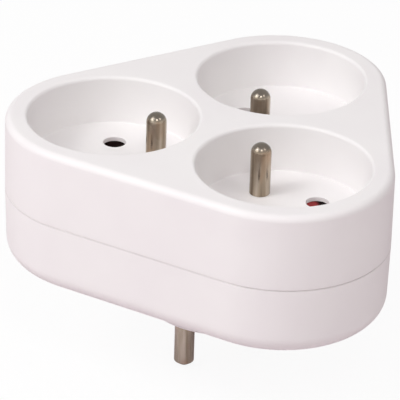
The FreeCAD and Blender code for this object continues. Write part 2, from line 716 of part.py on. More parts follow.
# A flat brass band with a tab under each clip of its pole and one over its plug pin.
def bar(name, side, level):
    contact = "contact_offset" if side > 0 else "-contact_offset"
    body = new_body(name)
    ring = new_sketch(body, f"{name}_ring", level)
    polygon(ring, "bar_outer", BAR_FLATS)
    polygon(ring, "bar_inner", BAR_FLATS)
    pad(body, ring, f"{name}_band", "bar_thick")
    tab = socket_sketch(body, f"{name}_tab", level)
    box_outline(tab, "-tab_start", "tab_half", (contact, "-tab_half"), (contact, "tab_half"))
    tab_pad = pad(body, tab, f"{name}_tab_pad", "bar_thick")
    hole = socket_sketch(body, f"{name}_clip_hole", level)
    centred_box(hole, "0", contact, ("clip_outer", "fit_gap"))
    hole_cut = pocket(body, hole, f"{name}_clip_hole_cut", "bar_thick", along=True)
    round_the_body(body, [tab_pad, hole_cut], f"{name}_tabs")
    inner = new_sketch(body, f"{name}_inner_tab", level)
    near, far = ("contact_offset", "-eye_half"), "bar_middle"
    edges = (near, far) if side > 0 else (opposite(far), opposite(near))
    box_outline(inner, *edges, "-eye_half", "eye_half")
    pad(body, inner, f"{name}_inner_tab_pad", "bar_thick")
    return body


def ring_spacer():
    body = new_body("ring_spacer")
    ring = new_sketch(body, "spacer_outline", "spacer_low")
    polygon(ring, ("bar_outer", "spacer_margin"), BAR_FLATS)
    polygon(ring, ("bar_inner", "-spacer_margin"), BAR_FLATS)
    pad(body, ring, "spacer", "spacer_rise")
    return body


# A brass star under the wells' floors, with a strap down to the plug's earth clip.
def earth_plate():
    body = new_body("earth_plate")
    hub = new_sketch(body, "hub_outline", "plate_earth")
    polygon(hub, "earth_hub", BAR_FLATS)
    pad(body, hub, "hub", "earth_thick")
    arm = socket_sketch(body, "arm_outline", "plate_earth")
    box_outline(arm, "-pitch", ("-earth_offset", "arm_end"), "-earth_arm", "earth_arm")
    arm_pad = pad(body, arm, "arm", "earth_thick")
    hole = socket_sketch(body, "arm_hole_outline", "plate_earth")
    polygon(hole, "rivet_hole", POST_FLATS, "-earth_offset")
    hole_cut = pocket(body, hole, "arm_hole", "earth_thick", along=True)
    round_the_body(body, [arm_pad, hole_cut], "arms")
    bridge = new_sketch(body, "bridge_outline", "plate_earth")
    box_outline(bridge, "-strap_half", "strap_half", "0", "strap_face")
    pad(body, bridge, "bridge", "earth_thick")
    strap = new_sketch(body, "strap_outline", "strap_low")
    box_outline(strap, "-strap_half", "strap_half", ("strap_face", "-strap_thick"), "strap_face")
    pad(body, strap, "strap", "strap_rise")
    return body


# A brass sleeve folded round a plug's pin, through its bar and up to the shutter's plate.
def contact_clip(name, turn, side, level):
    body = new_body(name)
    sleeve = new_sketch(body, f"{name}_fold", level)
    folded_sleeve(sleeve)
    pad(body, sleeve, f"{name}_sleeve", f"{level}_clip_rise")
    place_round(body, turn, "pitch", "contact_offset" if side > 0 else "-contact_offset")
    return body


# The folded sleeve that takes the wall socket's earth pin, joined to the strap.
def plug_earth_clip():
    body = new_body("plug_earth_clip")
    sleeve = new_sketch(body, "earth_clip_fold", "earth_clip_low")
    folded_sleeve(sleeve)
    pad(body, sleeve, "earth_clip_sleeve", "earth_clip_height")
    place_round(body, 0.0, "0", "earth_offset")
    return body


# The U-shaped shutter: a ramp under each contact hole, a slot outward of it and a crossbar between the legs.
def shutter(name, turn):
    body = new_body(name)
    shape = new_sketch(body, f"{name}_outline", "shutter_low")
    corners = (
        ("shutter_tail", "-leg_near"),
        ("-shutter_bar", "-leg_near"),
        ("-shutter_bar", "leg_near"),
        ("shutter_tail", "leg_near"),
        ("shutter_tail", "shutter_half"),
        ("-shutter_nose", "shutter_half"),
        ("-shutter_nose", "-shutter_half"),
        ("shutter_tail", "-shutter_half"),
    )
    outline(shape, corners)
    pad(body, shape, f"{name}_block", "shutter_height")
    slot = new_sketch(body, f"{name}_slot", "shutter_low")
    box_outline(slot, "ramp_start", "slot_tail", "slot_near", ("contact_offset", "slot_half"))
    slot_cut = pocket(body, slot, f"{name}_slot_cut", "shutter_height", along=True)
    ramp = new_sketch(body, f"{name}_ramp", "-slot_near", "XZ_Plane")
    foot = ("shutter_low", "ramp_lip")
    slope = (("ramp_start", foot), ("ramp_start", "shutter_high"), ("-ramp_reach", "shutter_high"))
    outline(ramp, slope)
    ramp_cut = pocket(body, ramp, f"{name}_ramp_cut", ("slot_half", "slot_half"))
    mirror(body, [slot_cut, ramp_cut], f"{name}_other_side")
    step = new_sketch(body, f"{name}_step", "shutter_high")
    box_outline(step, "-shutter_nose", "-shutter_bar", "-relief_half", "relief_half")
    pocket(body, step, f"{name}_step_cut", "relief_height")
    place_round(body, turn, "pitch")
    return body


# The cradle under a shutter, pegged to the upper half: a plate with two rails and the rib of the spring.
def shutter_plate(name, turn):
    body = new_body(name)
    flat = new_sketch(body, f"{name}_outline", "plate_low")
    box_outline(flat, "-plate_nose", "plate_tail", "-plate_half", "plate_half")
    pad(body, flat, f"{name}_slab", "plate_thick")
    rails = new_sketch(body, f"{name}_rails", "plate_high")
    corners = (
        ("-rail_reach", "rail_near"),
        ("stop_near", "rail_near"),
        ("stop_near", "leg_near"),
        ("stop_far", "leg_near"),
        ("stop_far", "rail_far"),
        ("-rail_reach", "rail_far"),
    )
    outline(rails, corners)
    outline(rails, [(x, opposite(y)) for x, y in reversed(corners)])
    pad(body, rails, f"{name}_rail_pads", "rail_height")
    stop = new_sketch(body, f"{name}_stop", "plate_high")
    box_outline(stop, ("-stop_face", "-stop_thick"), "-stop_face", "-stop_half", "stop_half")
    pad(body, stop, f"{name}_stop_pad", "stop_height")
    holes = new_sketch(body, f"{name}_holes", "plate_high")
    centred_box(holes, "0", "contact_offset", "window_half")
    centred_box(holes, "0", "-contact_offset", "window_half")
    peg_boxes(holes, ("peg_half", "fit_gap"))
    pocket(body, holes, f"{name}_holes_cut", "plate_thick")
    place_round(body, turn, "pitch")
    return body


# A bent steel leaf between the shutter's nose and the rib: flat in the middle, its tips on the nose.
def shutter_spring(name, turn):
    body = new_body(name)
    leaf = new_sketch(body, f"{name}_outline", "leaf_low")
    front = (
        ("-leaf_tip", "-leaf_reach"),
        ("-leaf_front", "-leaf_seat"),
        ("-leaf_front", "leaf_seat"),
        ("-leaf_tip", "leaf_reach"),
    )
    back = (
        (("-leaf_tip", "-leaf_thick"), "leaf_reach"),
        ("-leaf_back", "leaf_seat"),
        ("-leaf_back", "-leaf_seat"),
        (("-leaf_tip", "-leaf_thick"), "-leaf_reach"),
    )
    outline(leaf, front + back)
    pad(body, leaf, f"{name}_leaf", "leaf_rise")
    place_round(body, turn, "pitch")
    return body


# One screw for each post, its head up inside the counterbore and its shank in the upper half.
def housing_screws():
    screws = []
    for index in range(SOCKETS):
        head = doc.addObject("Part::Cylinder", f"screw_head_{index + 1}")
        head.setExpression("Radius", "sizes.screw_head")
        head.setExpression("Height", "sizes.head_height")
        shank = doc.addObject("Part::Cylinder", f"screw_shank_{index + 1}")
        shank.setExpression("Radius", "sizes.screw_radius")
        shank.setExpression("Height", "sizes.screw_length")
        shank.setExpression("Placement.Base.z", "sizes.head_height")
        screw = doc.addObject("Part::Fuse", f"screw_{index + 1}")
        screw.Base = head
        screw.Tool = shank
        away = FIRST_SOCKET + 180 + TURN * index
        place_round(screw, away, "post_pitch", "0", ("screw_seat", "-head_height"))
        screws.append(screw)
    group = doc.addObject("Part::Compound", "housing_screws")
    group.Label = "housing_screws"
    group.Links = screws
    doc.recompute()
    return group


def check_document():
    for item in doc.Objects:
        if "Invalid" in item.State or "Error" in item.State:
            raise RuntimeError(f"{item.Label} is {item.State}")


def write_pieces(pieces):
    os.makedirs("parts", exist_ok=True)
    for piece in pieces:
        shape = piece.Shape
        if shape.isNull() or not shape.isValid() or not shape.Solids:
            raise RuntimeError(f"{piece.Label} has no valid solid")
        shape.exportStep(f"parts/{piece.Label}.step")
        print(f"{piece.Label}: {len(shape.Solids)} solid, {shape.Volume:.1f} mm3")


def build():
    fill_sheet()
    work_out_places()
    pieces = [top_housing(), bottom_housing(), ring_spacer(), earth_plate(), plug_earth_clip()]
    for pole, side in SIDES:
        pieces.append(plug_pin(f"plug_pin_{pole}", side, f"{pole}_bar"))
        pieces.append(bar(f"{pole}_bus", side, f"{pole}_bar"))
    for index in range(SOCKETS):
        turn = FIRST_SOCKET + TURN * index
        pieces.append(earth_pin(f"earth_pin_{index + 1}", turn))
        pieces.append(shutter(f"shutter_{index + 1}", turn))
        pieces.append(shutter_spring(f"shutter_spring_{index + 1}", turn))
        pieces.append(shutter_plate(f"shutter_plate_{index + 1}", turn))
        for pole, side in SIDES:
            pieces.append(contact_clip(f"{pole}_clip_{index + 1}", turn, side, f"{pole}_bar"))
    pieces.append(housing_screws())
    doc.recompute()
    check_document()
    write_pieces(pieces)


build()
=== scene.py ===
import math

import bpy
from mathutils import Matrix, Vector


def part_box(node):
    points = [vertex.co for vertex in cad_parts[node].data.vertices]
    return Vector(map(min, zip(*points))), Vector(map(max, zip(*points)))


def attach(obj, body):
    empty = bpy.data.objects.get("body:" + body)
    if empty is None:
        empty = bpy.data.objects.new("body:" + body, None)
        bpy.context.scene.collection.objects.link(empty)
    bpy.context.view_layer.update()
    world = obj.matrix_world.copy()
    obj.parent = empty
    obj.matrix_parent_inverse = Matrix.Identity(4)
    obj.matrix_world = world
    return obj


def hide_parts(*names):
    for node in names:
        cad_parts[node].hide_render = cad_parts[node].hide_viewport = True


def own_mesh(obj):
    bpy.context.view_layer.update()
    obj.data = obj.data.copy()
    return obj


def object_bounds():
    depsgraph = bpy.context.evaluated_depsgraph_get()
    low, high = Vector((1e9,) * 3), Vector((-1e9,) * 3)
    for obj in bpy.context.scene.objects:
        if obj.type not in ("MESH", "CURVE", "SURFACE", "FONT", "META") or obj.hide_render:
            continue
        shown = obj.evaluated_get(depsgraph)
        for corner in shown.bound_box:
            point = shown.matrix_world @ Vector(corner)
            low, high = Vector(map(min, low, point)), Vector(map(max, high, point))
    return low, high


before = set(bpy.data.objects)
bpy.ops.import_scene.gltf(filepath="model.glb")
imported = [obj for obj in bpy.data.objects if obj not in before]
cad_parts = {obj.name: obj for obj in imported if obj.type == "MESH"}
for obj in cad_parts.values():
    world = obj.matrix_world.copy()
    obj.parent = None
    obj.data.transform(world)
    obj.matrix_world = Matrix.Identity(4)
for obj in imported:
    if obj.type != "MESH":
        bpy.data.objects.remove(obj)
cadLow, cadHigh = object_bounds()
print("frame loaded, nodes:", len(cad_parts))

# Sizes below are in millimetres and degrees, as in the drawing; the scene is in metres.
mm = 0.001
upwards = Vector((0.0, 0.0, 1.0))

# Heights and axes that several pieces share.
body = {
    "underside": 12.4,      # above the plug's face
    "joint": 29.8,          # line between the two halves
    "wellFloor": 36.4,
    "top": 48.4,
    "pitch": 26.2,          # centre of the body to each socket's axis
    "firstTurn": -90.0,     # direction of the first socket
    "turnStep": 120.0,      # from one socket to the next
    "earthOffset": 10.0,
    "contactOffset": 9.5,
    "postPitch": 29.0,      # centre of the body to each screw
    "pinRadius": 2.4,
}
numbers = (1, 2, 3)
sides = (1, -1)


def wayOut(number):
    turn = math.radians(body["firstTurn"] + body["turnStep"] * (number - 1))
    return Vector((math.cos(turn), math.sin(turn), 0.0))


def wayAside(number):
    return upwards.cross(wayOut(number))


def onSocket(number, outward=0.0, aside=0.0):
    return (wayOut(number) * (body["pitch"] + outward) + wayAside(number) * aside) * mm


socketAxes = [onSocket(number) for number in numbers]
contactAxes = [
    onSocket(number, aside=side * body["contactOffset"])
    for number in numbers
    for side in sides
]
screwAxes = [wayOut(number) * -body["postPitch"] * mm for number in numbers]

# How edges are found, joined and softened.
edgeWork = {
    "radiusSlack": 0.04,
    "heightSlack": 0.01,
    "mergeGap": 0.002,
    "flatAngle": 0.4,       # flat faces that differ by less are joined
    "faces": 3,             # across a softened edge
    "smallFaces": 2,        # across a finer one
    "normalWeight": 60,
    "turnedGap": 0.001,     # merges the points of a turned piece
    "leastRadius": 0.03,    # the point of a turned piece
}


# Small helpers: what is done by hand with a piece in the viewport.
def pickOnly(piece):
    bpy.ops.object.select_all(action="DESELECT")
    piece.select_set(True)
    bpy.context.view_layer.objects.active = piece


def openForEdit(piece, mode):
    pickOnly(piece)
    bpy.ops.object.mode_set(mode="EDIT")
    bpy.ops.mesh.select_mode(type=mode)
    bpy.ops.mesh.select_all(action="DESELECT")


def selectEdges(piece, wanted):
    openForEdit(piece, "EDGE")
    bpy.ops.object.mode_set(mode="OBJECT")
    points = piece.data.vertices
    count = 0
    for edge in piece.data.edges:
        first, second = (points[index].co for index in edge.vertices)
        edge.select = wanted(first, second)
        count += edge.select
    bpy.ops.object.mode_set(mode="EDIT")
    return count


# Both ends of an edge lie on a circle round one of the axes.
def onCircle(axes, radius, height):
    def isOn(point, axis):
        reach = Vector((point.x - axis.x, point.y - axis.y)).length / mm
        near = abs(reach - radius) < edgeWork["radiusSlack"]
        return near and abs(point.z / mm - height) < edgeWork["heightSlack"]

    def wanted(first, second):
        return any(isOn(first, axis) and isOn(second, axis) for axis in axes)

    return wanted


def softenEdge(piece, wanted, width, faces):
    count = selectEdges(piece, wanted)
    if count:
        bpy.ops.mesh.bevel(offset=width * mm, segments=faces, affect="EDGES", clamp_overlap=True)
    bpy.ops.object.mode_set(mode="OBJECT")
    if not count:
        print("no edge found on", piece.name)


def addModifier(piece, kind, **settings):
    pickOnly(piece)
    modifier = piece.modifiers.new(kind.lower(), kind)
    for key, value in settings.items():
        setattr(modifier, key, value)
    bpy.ops.object.modifier_apply(modifier=modifier.name)


def softenCorners(piece, look):
    addModifier(
        piece, "BEVEL", width=look["edgeSoft"] * mm, segments=edgeWork["smallFaces"],
        limit_method="ANGLE", angle_limit=math.radians(look["edgeAngle"]),
    )


def smoothByAngle(piece, degrees):
    pickOnly(piece)
    bpy.ops.object.shade_smooth_by_angle(angle=math.radians(degrees), keep_sharp_edges=False)
    weight = edgeWork["normalWeight"]
    addModifier(piece, "WEIGHTED_NORMAL", mode="FACE_AREA", weight=weight, keep_sharp=True)


# A merged copy of a CAD node, its flat faces joined, ready for finer edges.
def mergedCopy(node, name):
    piece = bpy.data.objects.new(name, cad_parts[node].data.copy())
    bpy.context.scene.collection.objects.link(piece)
    piece.data.name = name
    openForEdit(piece, "VERT")
    bpy.ops.mesh.select_all(action="SELECT")
    bpy.ops.mesh.remove_doubles(threshold=edgeWork["mergeGap"] * mm)
    bpy.ops.mesh.dissolve_limited(angle_limit=math.radians(edgeWork["flatAngle"]))
    bpy.ops.object.mode_set(mode="OBJECT")
    return piece


# A round piece drawn upwards or downwards from a disc: each step is a radius and a height.
def turned(name, spot, steps, points):
    radius, height = steps[0]
    bpy.ops.mesh.primitive_circle_add(
        vertices=points, radius=radius * mm, fill_type="NGON",
        location=(spot.x, spot.y, height * mm),
    )
    piece = bpy.context.object
    piece.name = piece.data.name = name
    bpy.ops.object.transform_apply(location=True, rotation=True, scale=True)
    bpy.ops.object.mode_set(mode="EDIT")
    bpy.ops.mesh.select_mode(type="FACE")
    bpy.ops.mesh.select_all(action="SELECT")
    for (oldRadius, oldHeight), (radius, height) in zip(steps, steps[1:]):
        rise = (height - oldHeight) * mm
        bpy.ops.mesh.extrude_region_move(TRANSFORM_OT_translate={"value": (0.0, 0.0, rise)})
        scale = radius / oldRadius
        centre = (spot.x, spot.y, height * mm)
        bpy.ops.transform.resize(value=(scale, scale, 1.0), center_override=centre)
    bpy.ops.mesh.select_all(action="SELECT")
    bpy.ops.mesh.remove_doubles(threshold=edgeWork["turnedGap"] * mm)
    bpy.ops.mesh.normals_make_consistent(inside=False)
    bpy.ops.object.mode_set(mode="OBJECT")
    return piece


# Quarter of a round end, from the side of a pin to its tip.
def roundEnd(radius, base, count):
    steps = []
    for index in range(1, count + 1):
        turn = math.radians(90.0 * index / count)
        inward = max(radius * math.cos(turn), edgeWork["leastRadius"])
        steps.append((inward, base + radius * math.sin(turn)))
    return steps


def finishPiece(piece, rides, material, node):
    piece.data.materials.clear()
    piece.data.materials.append(material)
    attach(piece, rides)
    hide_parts(node)


# How the noise patterns are read: their detail, the part of their range in use, and where the tints sit.
pattern = {
    "cloudDetail": 2.0,
    "grainDetail": 3.0,
    "sheenDetail": 4.0,
    "streakDetail": 4.0,
    "wearDetail": 5.0,
    "reads": (0.3, 0.7),
    "tintStops": (0.32, 0.5, 0.68),
    "sheenScale": 6.0,      # times that of the plastic's tints
    "wearScale": 0.6,       # times that of the metal's streaks
    "wornShare": (-1.5, 0.8),   # starts below nothing, so that only patches are worn
}
plainWhite = (1.0, 1.0, 1.0, 1.0)


# Materials. Each reads Object coordinates, which are metres in the same frame for every piece.
def newMaterial(name):
    material = bpy.data.materials.new(name)
    material.use_nodes = True
    tree = material.node_tree
    shader = next(node for node in tree.nodes if node.type == "BSDF_PRINCIPLED")
    return material, tree, shader


def addPlace(tree):
    return tree.nodes.new("ShaderNodeTexCoord").outputs["Object"]


def addNoise(tree, place, scale, detail, stretch=(1.0, 1.0, 1.0)):
    mapping = tree.nodes.new("ShaderNodeMapping")
    mapping.inputs["Scale"].default_value = stretch
    noise = tree.nodes.new("ShaderNodeTexNoise")
    noise.inputs["Scale"].default_value = scale
    noise.inputs["Detail"].default_value = detail
    tree.links.new(place, mapping.inputs["Vector"])
    tree.links.new(mapping.outputs["Vector"], noise.inputs["Vector"])
    return noise.outputs["Fac"]


def addRange(tree, source, reads, gives):
    spread = tree.nodes.new("ShaderNodeMapRange")
    spread.inputs["From Min"].default_value = reads[0]
    spread.inputs["From Max"].default_value = reads[1]
    spread.inputs["To Min"].default_value = gives[0]
    spread.inputs["To Max"].default_value = gives[1]
    tree.links.new(source, spread.inputs["Value"])
    return spread.outputs["Result"]


# One step of sums; its second value is a number or another node's output.
def addMath(tree, operation, first, second=0.0):
    step = tree.nodes.new("ShaderNodeMath")
    step.operation = operation
    tree.links.new(first, step.inputs[0])
    if isinstance(second, float):
        step.inputs[1].default_value = second
    else:
        tree.links.new(second, step.inputs[1])
    return step.outputs["Value"]


def addTints(tree, source, tints):
    first, middle, last = pattern["tintStops"]
    ramp = tree.nodes.new("ShaderNodeValToRGB")
    ramp.color_ramp.elements[0].position = first
    ramp.color_ramp.elements[1].position = last
    ramp.color_ramp.elements[0].color = (*tints[0], 1.0)
    ramp.color_ramp.elements[1].color = (*tints[-1], 1.0)
    if len(tints) == 3:
        ramp.color_ramp.elements.new(middle).color = (*tints[1], 1.0)
    tree.links.new(source, ramp.inputs["Fac"])
    return ramp.outputs["Color"]


def addBump(tree, shader, source, height):
    bump = tree.nodes.new("ShaderNodeBump")
    bump.inputs["Strength"].default_value = 1.0
    bump.inputs["Distance"].default_value = height * mm
    tree.links.new(source, bump.inputs["Height"])
    tree.links.new(bump.outputs["Normal"], shader.inputs["Normal"])


# A mask over a band of heights: the given share within it, falling to nothing over its soft edges.
def addBand(tree, place, middle, half, soft, share):
    split = tree.nodes.new("ShaderNodeSeparateXYZ")
    tree.links.new(place, split.inputs["Vector"])
    away = addMath(tree, "SUBTRACT", split.outputs["Z"], middle * mm)
    size = addMath(tree, "ABSOLUTE", away)
    return addRange(tree, size, (half * mm, (half + soft) * mm), (share, 0.0))


# Lays a second colour over the first, as much as the mask says.
def addLayer(tree, under, mask, tint, mode="MIX"):
    layer = tree.nodes.new("ShaderNodeMix")
    layer.data_type = "RGBA"
    layer.blend_type = mode
    sockets = {socket.identifier: socket for socket in layer.inputs}
    sockets["B_Color"].default_value = (*tint, 1.0)
    tree.links.new(mask, sockets["Factor_Float"])
    tree.links.new(under, sockets["A_Color"])
    return next(socket for socket in layer.outputs if socket.identifier == "Result_Color")


def mouldedPlastic(name, look):
    material, tree, shader = newMaterial(name)
    place = addPlace(tree)
    cloud = addNoise(tree, place, look["patch"], pattern["cloudDetail"])
    colour = addTints(tree, cloud, look["tints"])
    # Painted shade: a darker band along the joint between the halves stands in for the shade in its
    # groove.
    if "paintedSeamShade" in look:
        paintedSeamShade = addBand(tree, place, body["joint"], look["paintedSeamShadeHalf"], look["paintedSeamShadeSoft"], 1.0)
        colour = addLayer(tree, colour, paintedSeamShade, look["paintedSeamShade"], "MULTIPLY")
    tree.links.new(colour, shader.inputs["Base Color"])
    sheen = addNoise(tree, place, look["patch"] * pattern["sheenScale"], pattern["sheenDetail"])
    tree.links.new(addRange(tree, sheen, pattern["reads"], look["rough"]), shader.inputs["Roughness"])
    grain = addNoise(tree, place, look["grain"], pattern["grainDetail"])
    addBump(tree, shader, grain, look["relief"])
    shader.inputs["IOR"].default_value = look["ior"]
    shader.inputs["Specular IOR Level"].default_value = look["gloss"]
    return material


# The red of one shutter, painted near black outside the line of the contact holes: painted shade, where
# the holes look past the ends of its legs.
def shutterPlastic(number, look):
    material, tree, shader = newMaterial(f"shutterRed{number}")
    place = addPlace(tree)
    cloud = addNoise(tree, place, look["patch"], pattern["cloudDetail"])
    colour = addTints(tree, cloud, look["tints"])
    # Painted shade: the red goes near black beyond a set distance aside of the socket's middle line.
    reach = tree.nodes.new("ShaderNodeVectorMath")
    reach.operation = "DOT_PRODUCT"
    reach.inputs[1].default_value = wayAside(number)
    tree.links.new(place, reach.inputs[0])
    size = addMath(tree, "ABSOLUTE", reach.outputs["Value"])
    start = look["stripFrom"][number - 1]
    strip = addRange(tree, size, (start * mm, (start + look["stripSoft"]) * mm), (0.0, 1.0))
    colour = addLayer(tree, colour, strip, look["strip"])
    tree.links.new(colour, shader.inputs["Base Color"])
    grain = addNoise(tree, place, look["grain"], pattern["grainDetail"])
    addBump(tree, shader, grain, look["relief"])
    shader.inputs["Roughness"].default_value = look["rough"]
    shader.inputs["Specular IOR Level"].default_value = look["gloss"]
    return material


# Metal with drawn streaks, and where asked, worn patches and a darker tip, which is a painted dark
# reflection.
def drawnMetal(name, look):
    material, tree, shader = newMaterial(name)
    place = addPlace(tree)
    streaks = addNoise(tree, place, look["streak"], pattern["streakDetail"], look["stretch"])
    colour = addTints(tree, streaks, look["tints"])
    if "worn" in look:
        patch = addNoise(tree, place, look["wornPatch"], pattern["cloudDetail"], look["wornStretch"])
        patch = addRange(tree, patch, pattern["reads"], pattern["wornShare"])
        colour = addLayer(tree, colour, patch, look["worn"])
    # Painted dark reflection: the upper part of the dome is darkened, so that the lamps' highlights stand
    # out on it.
    if "tip" in look:
        height, half, soft = look["tipBand"]
        paintedReflection = addBand(tree, place, height, half, soft, look["tipShare"])
        colour = addLayer(tree, colour, paintedReflection, look["tip"])
    tree.links.new(colour, shader.inputs["Base Color"])
    wearScale = look["streak"] * pattern["wearScale"]
    wear = addNoise(tree, place, wearScale, pattern["wearDetail"], look["stretch"])
    tree.links.new(addRange(tree, wear, pattern["reads"], look["rough"]), shader.inputs["Roughness"])
    addBump(tree, shader, streaks, look["relief"])
    shader.inputs["Metallic"].default_value = 1.0
    return material


finishes = {
    "body_white": mouldedPlastic("bodyWhite", {
        "tints": ((0.862, 0.84, 0.843), (0.875, 0.858, 0.856), (0.888, 0.874, 0.868)),
        "patch": 42.0, "rough": (0.42, 0.5), "grain": 420.0, "relief": 0.004, "ior": 1.5, "gloss": 0.32,
        # The darker band along the joint is painted shade.
        "paintedSeamShade": (0.85, 0.835, 0.835), "paintedSeamShadeHalf": 0.14, "paintedSeamShadeSoft": 0.14,
    }),
    "insulator": mouldedPlastic("insulatorCream", {
        "tints": ((0.62, 0.58, 0.50), (0.68, 0.64, 0.56)),
        "patch": 60.0, "rough": (0.45, 0.6), "grain": 900.0, "relief": 0.012, "ior": 1.46, "gloss": 0.4,
    }),
    "plug_pin_metal": drawnMetal("plugPinNickel", {
        "tints": ((0.32, 0.275, 0.19), (0.56, 0.53, 0.425), (0.76, 0.735, 0.62)),
        "streak": 620.0, "stretch": (1.0, 1.0, 0.05), "rough": (0.16, 0.3), "relief": 0.004,
        "worn": (0.56, 0.36, 0.25), "wornPatch": 190.0, "wornStretch": (1.0, 1.0, 0.35),
    }),
    "earth_pin_metal": drawnMetal("earthPinNickel", {
        "tints": ((0.2, 0.15, 0.105), (0.37, 0.305, 0.23), (0.54, 0.465, 0.375)),
        "streak": 620.0, "stretch": (1.0, 1.0, 0.05), "rough": (0.12, 0.26), "relief": 0.004,
        "worn": (0.38, 0.25, 0.16), "wornPatch": 210.0, "wornStretch": (1.0, 1.0, 0.35),
        # The tip colour is a painted dark reflection on the dome.
        "tip": (0.14, 0.122, 0.105), "tipBand": (49.6, 1.3, 0.9), "tipShare": 0.9,
    }),
    "contact_brass": drawnMetal("contactBrass", {
        "tints": ((0.60, 0.40, 0.16), (0.78, 0.56, 0.25)),
        "streak": 300.0, "stretch": (0.2, 1.0, 1.0), "rough": (0.25, 0.42), "relief": 0.006,
    }),
    "spring_steel": drawnMetal("springSteel", {
        "tints": ((0.42, 0.43, 0.45), (0.56, 0.57, 0.59)),
        "streak": 400.0, "stretch": (1.0, 1.0, 0.2), "rough": (0.2, 0.32), "relief": 0.003,
    }),
    "screw_steel": drawnMetal("screwZinc", {
        "tints": ((0.46, 0.47, 0.47), (0.62, 0.63, 0.62)),
        "streak": 500.0, "stretch": (1.0, 1.0, 0.5), "rough": (0.28, 0.46), "relief": 0.005,
    }),
}
print("finishes made:", len(finishes))

# The upper half: the CAD shape with the edges of its wells and holes softened as a mould leaves them.
upperHalf = {
    "wellRadius": 20.0,
    "rimBevel": 0.5,
    "rimSoft": 0.33,
    "floorSoft": 0.22,
    "holeRadius": 2.7,
    "holeSoft": 0.14,
    "smoothAngle": 32.0,
}


def makeUpperHalf():
    piece = mergedCopy("top_housing", "upperHalf")
    look = upperHalf
    top, floor, radius = body["top"], body["wellFloor"], look["wellRadius"]
    faces, smallFaces = edgeWork["faces"], edgeWork["smallFaces"]
    softenEdge(piece, onCircle(socketAxes, radius + look["rimBevel"], top), look["rimSoft"], faces)
    softenEdge(piece, onCircle(socketAxes, radius, top - look["rimBevel"]), look["rimSoft"], faces)
    softenEdge(piece, onCircle(socketAxes, radius, floor), look["floorSoft"], faces)
    softenEdge(piece, onCircle(contactAxes, look["holeRadius"], floor), look["holeSoft"], smallFaces)
    smoothByAngle(piece, look["smoothAngle"])
    finishPiece(piece, "adapter", finishes["body_white"], "top_housing")


# The lower half, with the round plug below it.
lowerHalf = {
    "bossRadius": 18.3,
    "bossBevel": 0.8,
    "bossSoft": 0.3,
    "bossFoot": 0.35,
    "sinkRadius": 3.1,
    "sinkSoft": 0.2,
    "smoothAngle": 32.0,
}


def makeLowerHalf():
    piece = mergedCopy("bottom_housing", "lowerHalf")
    look = lowerHalf
    middle = [Vector((0.0, 0.0, 0.0))]
    underside, radius = body["underside"], look["bossRadius"]
    faces, smallFaces = edgeWork["faces"], edgeWork["smallFaces"]
    softenEdge(piece, onCircle(middle, radius, look["bossBevel"]), look["bossSoft"], faces)
    softenEdge(piece, onCircle(middle, radius - look["bossBevel"], 0.0), look["bossSoft"], faces)
    softenEdge(piece, onCircle(middle, radius, underside), look["bossFoot"], faces)
    softenEdge(piece, onCircle(screwAxes, look["sinkRadius"], underside), look["sinkSoft"], smallFaces)
    smoothByAngle(piece, look["smoothAngle"])
    finishPiece(piece, "adapter", finishes["body_white"], "bottom_housing")


# Earth pins: turned, with a full round end, on the floor of each well.
earthPin = {
    "rise": 12.8,
    "tailRadius": 1.9,
    "tailReach": 2.1,
    "foot": 0.12,
    "domeSteps": 14,
    "points": 64,
    "smoothAngle": 40.0,
}


def makeEarthPin(number):
    look = earthPin
    floor, radius = body["wellFloor"], body["pinRadius"]
    tail, foot = look["tailRadius"], look["foot"]
    steps = [
        (tail - foot, floor - look["tailReach"]),
        (tail, floor - look["tailReach"] + foot),
        (tail, floor),
        (radius - foot, floor),
        (radius, floor + foot),
        (radius, floor + look["rise"] - radius),
    ]
    steps += roundEnd(radius, floor + look["rise"] - radius, look["domeSteps"])
    piece = turned(f"earthPin{number}", onSocket(number, -body["earthOffset"]), steps, look["points"])
    smoothByAngle(piece, look["smoothAngle"])
    finishPiece(piece, "adapter", finishes["earth_pin_metal"], f"earth_pin_{number}")


# Plug pins: bevelled end with a small round nose, a wider step in the plug's face and a stem behind it.
plugPin = {
    "reach": 15.9,
    "tipHeight": 1.35,
    "noseRadius": 1.15,
    "noseHeight": 0.45,
    "noseSteps": 6,
    "noseBlend": (0.1, 0.055),      # outward and up from the nose's edge
    "bevelBlend": (0.16, 0.11),     # inward and down from the bevel's top
    "bevelTop": (0.04, 0.14),       # inward at the bevel's top, and up to the full radius
    "shoulder": 2.8,
    "stem": 2.0,
    "wall": 2.2,
    "edge": 0.12,
    "points": 64,
    "smoothAngle": 34.0,
}


def makePlugPin(name, node, side):
    look = plugPin
    radius, tip = body["pinRadius"], -look["reach"]
    nose, noseHeight, bevelHeight = look["noseRadius"], look["noseHeight"], look["tipHeight"]
    shoulder, stem, wall, edge = look["shoulder"], look["stem"], look["wall"], look["edge"]
    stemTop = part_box(node)[1].z / mm
    ball = (nose ** 2 + noseHeight ** 2) / (2.0 * noseHeight)
    steps = []
    for index in range(look["noseSteps"] + 1):
        out = max(nose * index / look["noseSteps"], edgeWork["leastRadius"])
        steps.append((out, tip + ball - math.sqrt(ball ** 2 - out ** 2)))
    steps += [
        (nose + look["noseBlend"][0], tip + noseHeight + look["noseBlend"][1]),
        (radius - look["bevelBlend"][0], tip + bevelHeight - look["bevelBlend"][1]),
        (radius - look["bevelTop"][0], tip + bevelHeight),
        (radius, tip + bevelHeight + look["bevelTop"][1]),
        (radius, 0.0),
        (shoulder - edge, 0.0),
        (shoulder, edge),
        (shoulder, wall),
        (stem, wall),
        (stem, stemTop - edge),
        (stem - edge, stemTop),
    ]
    spot = Vector((side * body["contactOffset"] * mm, 0.0, 0.0))
    piece = turned(name, spot, steps, look["points"])
    smoothByAngle(piece, look["smoothAngle"])
    finishPiece(piece, "adapter", finishes["plug_pin_metal"], node)


